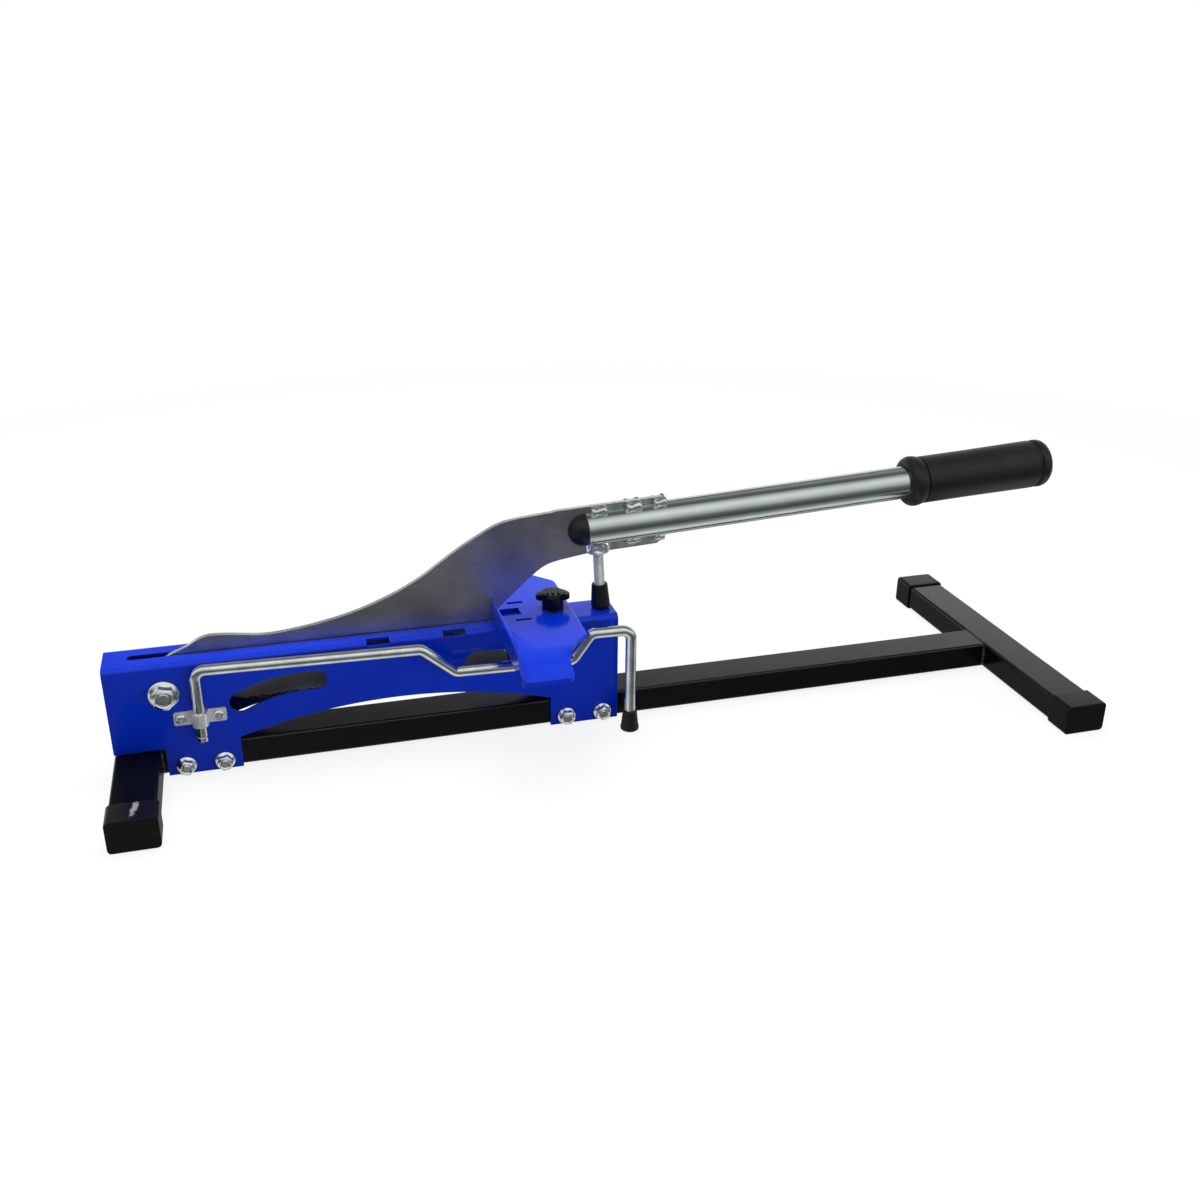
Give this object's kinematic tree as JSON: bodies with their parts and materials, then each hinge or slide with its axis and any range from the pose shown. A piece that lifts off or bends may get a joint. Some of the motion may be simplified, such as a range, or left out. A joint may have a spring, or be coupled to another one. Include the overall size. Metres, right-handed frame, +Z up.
{
  "type": "laminate flooring cutter",
  "caption": "Lever guillotine for laminate boards: a long blade on a folded blue body, tube base with capped feet, sliding fence with hand knob and a swing-out support rod.",
  "frame": {"origin": "middle of the footprint on the floor", "axes": "+X along the base from the pivot towards the grip, +Y to the rear, +Z up"},
  "size_m": [0.7147, 0.262, 0.1876],
  "materials": {
    "blue_paint": "glossy royal blue powder coat",
    "black_paint": "satin black paint",
    "black_plastic": "matte moulded plastic",
    "black_rubber": "soft matte rubber",
    "zinc_steel": "zinc plated fasteners",
    "bright_plate": "bright plated rod and tube",
    "blade_steel": "ground steel"
  },
  "bodies": {
    "base": {"left_foot_tube": "black_paint", "right_foot_tube": "black_paint", "centre_tube": "black_paint", "left_cap_front": "black_plastic", "left_cap_rear": "black_plastic", "right_cap_front": "black_plastic", "right_cap_rear": "black_plastic", "cutter_body": "blue_paint", "foot_bolts": "zinc_steel", "foot_nuts": "zinc_steel", "pivot_bolt": "zinc_steel", "pivot_nut": "zinc_steel", "spacer_front": "zinc_steel", "spacer_rear": "zinc_steel", "rod_strap": "zinc_steel", "strap_screws": "zinc_steel"},
    "lever": {"blade": "blade_steel", "handle_tube": "bright_plate", "tube_plugs": "black_plastic", "grip": "black_rubber", "stop_screw": "zinc_steel", "stop_nut": "zinc_steel", "stop_foot": "black_rubber"},
    "fence_slider": {"fence": "blue_paint", "clamp_bolt": "zinc_steel", "clamp_washer": "zinc_steel"},
    "clamp_knob": {"knob_insert": "zinc_steel", "knob": "black_plastic"},
    "rod_arm": {"support_rod": "bright_plate", "rod_foot": "black_rubber"}
  },
  "joints": [
    {"name": "lever_hinge", "type": "hinge", "parent": "base", "child": "lever", "pos_m": [-0.3183, 0, 0.064], "axis": [0, -1, 0], "range_deg": [0, 65]},
    {"name": "fence_slide", "type": "slide", "parent": "base", "child": "fence_slider", "axis": [1, 0, 0], "range_m": [-0.008, 0.008]},
    {"name": "knob_turn", "type": "hinge", "parent": "fence_slider", "child": "clamp_knob", "pos_m": [-0.0428, 0, 0.0898], "axis": [0, 0, 1], "continuous": true},
    {"name": "rod_hinge", "type": "hinge", "parent": "base", "child": "rod_arm", "pos_m": [-0.2968, -0.02162, 0.0448], "axis": [0, 0, -1], "range_deg": [-2, 90]}
  ]
}
